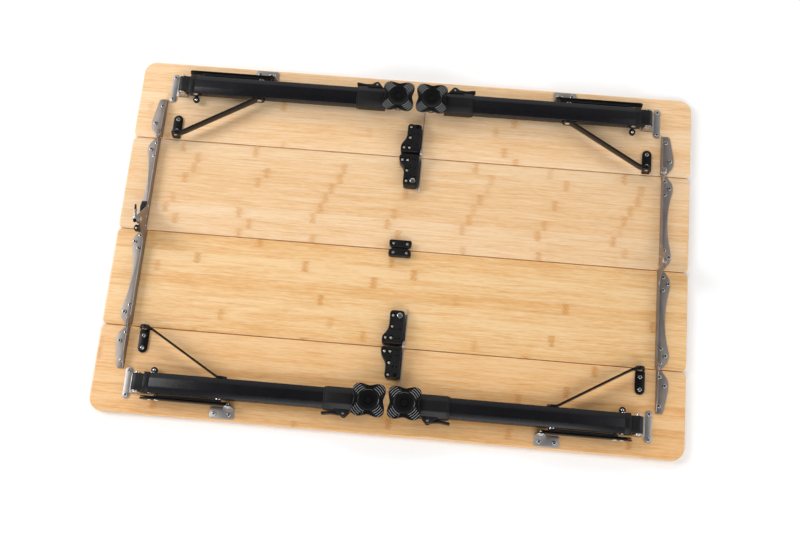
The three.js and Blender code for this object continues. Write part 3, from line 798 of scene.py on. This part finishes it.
def lever(collar_x):
    """The clamp's handle, lying along the collar."""
    pin_x = collar_x - CLAMP_PIN_INSET
    outline = arc(pin_x, CLAMP_PIN_Y, 4, 90, 270, 12) + fillet(
        [(pin_x + 20, 296), (pin_x + 36, 298.3), (pin_x + 37.6, 300.8), (pin_x + 36, 302.8),
         (pin_x + 20, 300.4), (pin_x + 8, 301.8)],
        [0, 1, 1.4, 1.4, 10, 0], 5)
    bore = circle(pin_x, CLAMP_PIN_Y, 2.1, 16)
    return [prism(outline, 13.4, 24.6, holes=[bore], edge=0.7, steps=3)]


def inner_tube(foot_x):
    """The hollow sliding tube with a plug and a nose at the foot."""
    start = foot_x + 14
    nose = [(start + 2, 12), (start + 2, 26)] + arc(foot_x, LEG_Z, 7, 90, 270, 16)
    bore = section(13.6, 6.2, 8, 2)
    return [
        prism(section(15.2, 7.8, 9, 2.6), start, foot_x + 335, "X", edge=0.3, holes=[bore]),
        prism(section(13.5, 6.1, 8, 2), start + 1, start + 16, "X", edge=0.2, mat=PLASTIC),
        prism(nose, LEG_Y - 12, LEG_Y + 12, "Y", edge=0.7, mat=PLASTIC),
    ]


# ---------------------------------------------------------------- feet
SPOKES = 128
SOLE_TOP, SOLE_BASE = 40.5, 34.0
DISC_R = 18.2  # the flat disc in the middle of the sole
RIM_ROUND = 1.2  # radius of the tread's rounded outer edge
DISC_RINGS = [3, 5.4, 6.0, 6.2, 7.6, 7.9, 8.4, 12, 16.6, 17.6, DISC_R]
TREAD_RINGS = [DISC_R + 0.42 * k for k in range(1, 39)]


def foot_radius(t):
    """Outline of the foot: four lobes on the diagonals."""
    return 29.5 - 5 * math.cos(4 * t)


def disc_height(r):
    """A boss in a round well, then the disc's face and its raised rim."""
    if r <= 6.0:
        return SOLE_TOP - 1.0
    if r <= 7.7:
        return SOLE_TOP - 2.6
    if r <= 17.0:
        return SOLE_TOP - 0.9 + 0.3 * (r > 16)
    return SOLE_TOP


def tread_height(r, t, to_edge):
    """The tread round the disc: sunk on the lobes, where the ribs stand, and rounded off."""
    lobe = 0.5 - 0.5 * math.cos(4 * t)
    lobe = max(0.0, min(1.0, (lobe - 0.28) / 0.22))
    z = SOLE_TOP - 0.35 - lobe * min(1.0, (r - DISC_R) / 1.2)
    if to_edge < RIM_ROUND:
        z -= RIM_ROUND - math.sqrt(max(0.0, RIM_ROUND**2 - (RIM_ROUND - to_edge) ** 2))
    return z


def sole(foot_x):
    """The four-lobed pad: a disc with a well and a boss, and the tread that the ribs stand on."""
    verts, faces = [(foot_x, LEG_Y, SOLE_TOP - 1.0)], []
    rings = [[0]]

    def add_ring(spot):
        """One ring of points; spot(t) gives the distance from the centre and the height."""
        rings.append(list(range(len(verts), len(verts) + SPOKES)))
        for i in range(SPOKES):
            t = math.tau * i / SPOKES
            r, z = spot(t)
            verts.append((foot_x + r * math.cos(t), LEG_Y + r * math.sin(t), z))

    def tread(t, r):
        spread = (foot_radius(t) - DISC_R) / (TREAD_RINGS[-1] - DISC_R)
        here = DISC_R + (r - DISC_R) * spread
        return here, tread_height(r, t, foot_radius(t) - here)

    for r in DISC_RINGS:
        add_ring(lambda t: (r, disc_height(r)))
    for r in TREAD_RINGS:
        add_ring(lambda t: tread(t, r))
    for z, grow in ((37.6, 0.0), (35.0, -0.8), (SOLE_BASE, -2.6), (SOLE_BASE, -22.0)):
        add_ring(lambda t: (foot_radius(t) + grow, z))
    rings.append([len(verts)])
    verts.append((foot_x, LEG_Y, SOLE_BASE))
    for a, b in zip(rings, rings[1:]):
        for i in range(SPOKES):
            j = (i + 1) % SPOKES
            if len(a) == 1:
                faces.append((a[0], b[i], b[j]))
            elif len(b) == 1:
                faces.append((a[i], b[0], a[j]))
            else:
                faces.append((a[i], b[i], b[j], a[j]))
    return verts, faces, None


def foot(foot_x):
    """The pad with four arc ribs on each lobe, their light grey a painted highlight, and two ears on the
    tilt pin.
    """
    ear = [(foot_x - 10, 35)] + arc(foot_x, LEG_Z, 8, 180, 360, 16) + [(foot_x + 10, 35)]
    chunks = [sole(foot_x)]
    for lobe in (45, 135, 225, 315):
        for k, half_turn in enumerate((22, 19, 16, 12)):
            low = 20.0 + 3.7 * k
            rib = arc(foot_x, LEG_Y, low + 1.0, lobe - half_turn, lobe + half_turn, 12)
            rib += arc(foot_x, LEG_Y, low, lobe + half_turn, lobe - half_turn, 12)
            # Each rib takes the painted highlight colour.
            chunks.append(prism(rib, 38.6, SOLE_TOP, edge=0.35, steps=2, mat=PAINTED_RIB_HIGHLIGHT))
    for low in (LEG_Y - 16.2, LEG_Y + 12.6):
        chunks.append(prism(ear, low, low + 3.6, "Y", edge=0.6, mat=PLASTIC))
    chunks.append(rod((foot_x, 0, LEG_Z), 3.0, LEG_Y - 16.8, LEG_Y + 16.8, "Y", mat=BRIGHT))
    return chunks


# ---------------------------------------------------------------- braces
def ribbon(line, half):
    """The outline of a strip of half-width half that follows line."""
    left, right_side = [], []
    for i, p in enumerate(line):
        here = Vector(p)
        a = (here - Vector(line[i - 1])).normalized() if i else (Vector(line[1]) - here).normalized()
        b = (Vector(line[i + 1]) - here).normalized() if i < len(line) - 1 else a
        normal = Vector((-(a + b).y, (a + b).x)).normalized()
        reach = half / max(0.5, normal.dot(Vector((-a.y, a.x))))
        left.append(tuple(here + normal * reach))
        right_side.append(tuple(here - normal * reach))
    return left + right_side[::-1]


def side_brace():
    """A flat strip on edge from the tube to the side brace's bracket, round at both ends."""
    half, tall = 1.6, 8.2
    tube_end, bracket_end = (276, 255.6), (HINGE_X, 181.1)
    line = [tube_end, (284, 255.6), (409, 181.1), bracket_end]
    strip = fillet(ribbon(line, half), [0, 7, 7, 0, 0, 6, 6, 0], 6)
    chunks = [prism(strip, LEG_Z - tall, LEG_Z + tall, edge=0.5)]
    for (x, y), way in ((tube_end, 1), (bracket_end, -1)):
        half_disc = [(x + 2 * way, LEG_Z - tall * way), (x + 2 * way, LEG_Z + tall * way)]
        half_disc += arc(x, LEG_Z, tall, 90 * way, 90 * way + 180, 14)
        chunks.append(prism(half_disc, y - half, y + half, "Y", edge=0.4))
    chunks.append(dome((277, 0, 20), 4.4, 254.2, -1.6, "Y", mat=BRIGHT))
    return chunks


def side_brace_bracket():
    """A long plate with rounded ends, and an ear on the leg's hinge axis."""
    base = arc(422.5, 184.5, 8.3, 180, 360, 20) + arc(422.5, 212.5, 8.3, 0, 180, 20)
    ear = [(414.2, SEAT), (427.4, SEAT), (427.4, 8)]
    ear += arc(HINGE_X, LEG_Z, 7.4, 0, 180, 16) + [(412.6, 8)]
    pin = (HINGE_X, 0, LEG_Z)
    base_top = 3.3
    chunks = [prism(base, SEAT, base_top, edge=0.5), prism(ear, 176.2, 179.2, "Y", edge=0.5)]
    chunks.append(rod(pin, 3.0, 175.6, 183.6, "Y", mat=BRIGHT))
    chunks.append(dome(pin, 4.6, 182.9, 1.4, "Y", mat=BRIGHT))
    chunks += screw(422.5, 212.5, base_top, SCREW_R, BRIGHT, PAINTED_RECESS_SHADE, 0.7)
    chunks += screw(422.5, 191, base_top, SCREW_R, BRIGHT, PAINTED_RECESS_SHADE, 0.2)
    return chunks


def brace_bracket():
    """The folding brace's plate on the panel, with an ear and the link's pin."""
    plate = fillet(rectangle(251, 303, 293, 322), [1, 4, 5, 5], 6)
    ear = [(252, SEAT), (272, SEAT), (269.5, 10)] + arc(PANEL_PIN_X, LEG_Z, 7, 0, 180, 16)
    pin = (PANEL_PIN_X, 0, LEG_Z)
    chunks = [prism(plate, SEAT, TOP), prism(ear, 303, 305, "Y")]
    chunks.append(rod(pin, 2.5, 297.6, 304.6, "Y", mat=BRIGHT))
    chunks.append(dome(pin, 4.2, 305, 1.4, "Y", mat=BRIGHT))
    chunks += screw(259.5, 314, TOP, SCREW_R, BRIGHT, PAINTED_RECESS_SHADE, 0.2)
    chunks += screw(285, 314, TOP, SCREW_R, BRIGHT, PAINTED_RECESS_SHADE, 0.8)
    return chunks


def panel_link():
    """A channel that runs on past the knee."""
    bore = circle(PANEL_PIN_X, LEG_Z, 2.6, 20)
    wall = capsule(PANEL_PIN_X, 404.5, LEG_Z, 5.5)
    lip = capsule(PANEL_PIN_X + 1, 404, LEG_Z, 5.3)
    return [
        prism(wall, 300.3, 302.7, "Y", holes=[bore], edge=0.5),
        prism(rectangle(PANEL_PIN_X, 13.6, 403, 15.2), 297.4, 301.0, "Y", edge=0.3),
        prism(lip, 297.2, 298.6, "Y", holes=[bore], edge=0.3),
        dome((KNEE_X, 0, LEG_Z), 4.2, 302.7, 1.6, "Y", mat=BRIGHT),
        dome((393, 0, LEG_Z), 3.6, 302.7, 1.4, "Y", mat=BRIGHT),
    ]


def tube_link():
    """A flat bar from the tube to the knee."""
    bar = capsule(TUBE_PIN_X, KNEE_X, LEG_Z, 5.5)
    bore = circle(TUBE_PIN_X, LEG_Z, 2.6, 20)
    return [
        prism(bar, 293.9, 296.7, "Y", holes=[bore], edge=0.5),
        dome((KNEE_X, 0, LEG_Z), 3.4, 294.0, -1.2, "Y", mat=BRIGHT),
    ]


def leg_pieces(row, foot_x, collar_x):
    """Name, chunks, materials, body, replaced node, slot and smoothing angle of each piece.

    {} stands for the quarter, such as far_left.
    """
    on_panel = f"outer_{row}_panel"
    sheet, dark_sheet = [ZINC, BRIGHT, PAINTED_RECESS_SHADE], [COATED, BRIGHT, PAINTED_RECESS_SHADE]
    sole_list = [SOLE, PLASTIC, BRIGHT, PAINTED_RIB_HIGHLIGHT]
    strip = [COATED, BRIGHT]
    return (
        ("hinge_bracket", leg_bracket(), sheet, on_panel, "leg_bracket", "steel", 32),
        ("leg_profile", leg_tube(collar_x), [TUBE, PLASTIC, BRIGHT], "leg_{}", "leg_tube",
         "black_aluminium", 32),
        ("clamp_handle", lever(collar_x), [PLASTIC], "lever_{}", "clamp_lever", "black_plastic", 32),
        ("slide_tube", inner_tube(foot_x), [TUBE, PLASTIC], "inner_leg_{}", "inner_tube",
         "black_aluminium", 32),
        ("foot_pad", foot(foot_x), sole_list, "foot_{}", "foot", "black_plastic", 28),
        ("stay", side_brace(), strip, "leg_{}", "side_brace", "black_steel", 32),
        ("stay_bracket", side_brace_bracket(), dark_sheet, on_panel, "side_brace_bracket",
         "black_steel", 32),
        ("brace_plate", brace_bracket(), sheet, on_panel, "brace_bracket", "steel", 32),
        ("brace_long", panel_link(), strip, "panel_link_{}", "bracket_link", "black_steel", 32),
        ("brace_short", tube_link(), strip, "tube_link_{}", "leg_link", "black_steel", 32),
    )


for row, sy in ROWS:
    for side, sx, foot_x, collar_x in SIDES:
        at = f"{row}_{side}"
        for name, chunks, materials, body, node, slot, smooth in leg_pieces(row, foot_x, collar_x):
            piece(f"{name}_{at}", chunks, materials, body.format(at), [f"{node}_{at}"],
                  sx, sy, smooth)

# ---------------------------------------------------------------- floor and light
FLOOR_HALF, FLOOR_Z = 30.0, -0.0005  # metres
floor_mat = Nodes("floor")
patches = floor_mat.noise(1.4, 2.0, 0.5)
greys = [(0.3, (0.90, 0.90, 0.90)), (0.7, (0.93, 0.93, 0.93))]
floor_mat.finish(Base_Color=floor_mat.ramp(patches, greys), Roughness=0.9)
floor_mesh = bpy.data.meshes.new("floor")
floor_mesh.from_pydata(
    [(x, y, FLOOR_Z) for x, y in rectangle(-FLOOR_HALF, -FLOOR_HALF, FLOOR_HALF, FLOOR_HALF)],
    [], [(0, 1, 2, 3)])
floor_mesh.materials.append(floor_mat.mat)
floor = bpy.data.objects.new("floor", floor_mesh)
bpy.context.scene.collection.objects.link(floor)


def lamp(name, place, size, watts, mirrored=True):
    """A soft box aimed at the middle of the table; unless mirrored, gloss doesn't show it."""
    data = bpy.data.lights.new(name, "AREA")
    data.shape = "RECTANGLE"
    data.size, data.size_y = size
    data.energy = watts
    obj = bpy.data.objects.new(name, data)
    obj.location = place
    obj.rotation_euler = (-Vector(place)).to_track_quat("-Z", "Y").to_euler()
    obj.visible_glossy = mirrored
    bpy.context.scene.collection.objects.link(obj)


lamp("front", (0.2, -2.25, 2.25), (2.5, 1.2), 38)
lamp("left", (-2.5, 0.5, 2.0), (1.1, 1.4), 43)
lamp("far", (-0.5, 2.5, 2.0), (2.8, 0.9), 28, mirrored=False)
lamp("right", (2.4, 0.1, 2.1), (1.2, 1.4), 12)

# A light tent: dark straight above, brighter towards the sides; height and grey level.
TENT = ((0.0, 0.90), (0.40, 0.80), (0.62, 0.60), (0.80, 0.24), (0.90, 0.10), (1.0, 0.05))
TENT_STRENGTH = 1.20
world = bpy.data.worlds.new("studio")
bpy.context.scene.world = world
world.use_nodes = True
tree = world.node_tree
way = tree.nodes.new("ShaderNodeSeparateXYZ")
tree.links.new(tree.nodes.new("ShaderNodeTexCoord").outputs["Generated"], way.inputs[0])
tent = tree.nodes.new("ShaderNodeValToRGB")
tent.color_ramp.interpolation = "EASE"
while len(tent.color_ramp.elements) < len(TENT):
    tent.color_ramp.elements.new(0.5)
for element, (height, grey) in zip(tent.color_ramp.elements, TENT):
    element.position = height
    element.color = (grey, grey, grey, 1)
tree.links.new(way.outputs["Z"], tent.inputs["Fac"])
tree.links.new(tent.outputs["Color"], tree.nodes["Background"].inputs["Color"])
tree.nodes["Background"].inputs["Strength"].default_value = TENT_STRENGTH
bpy.context.scene.view_settings.view_transform = "Standard"
bpy.context.scene.view_settings.look = "None"
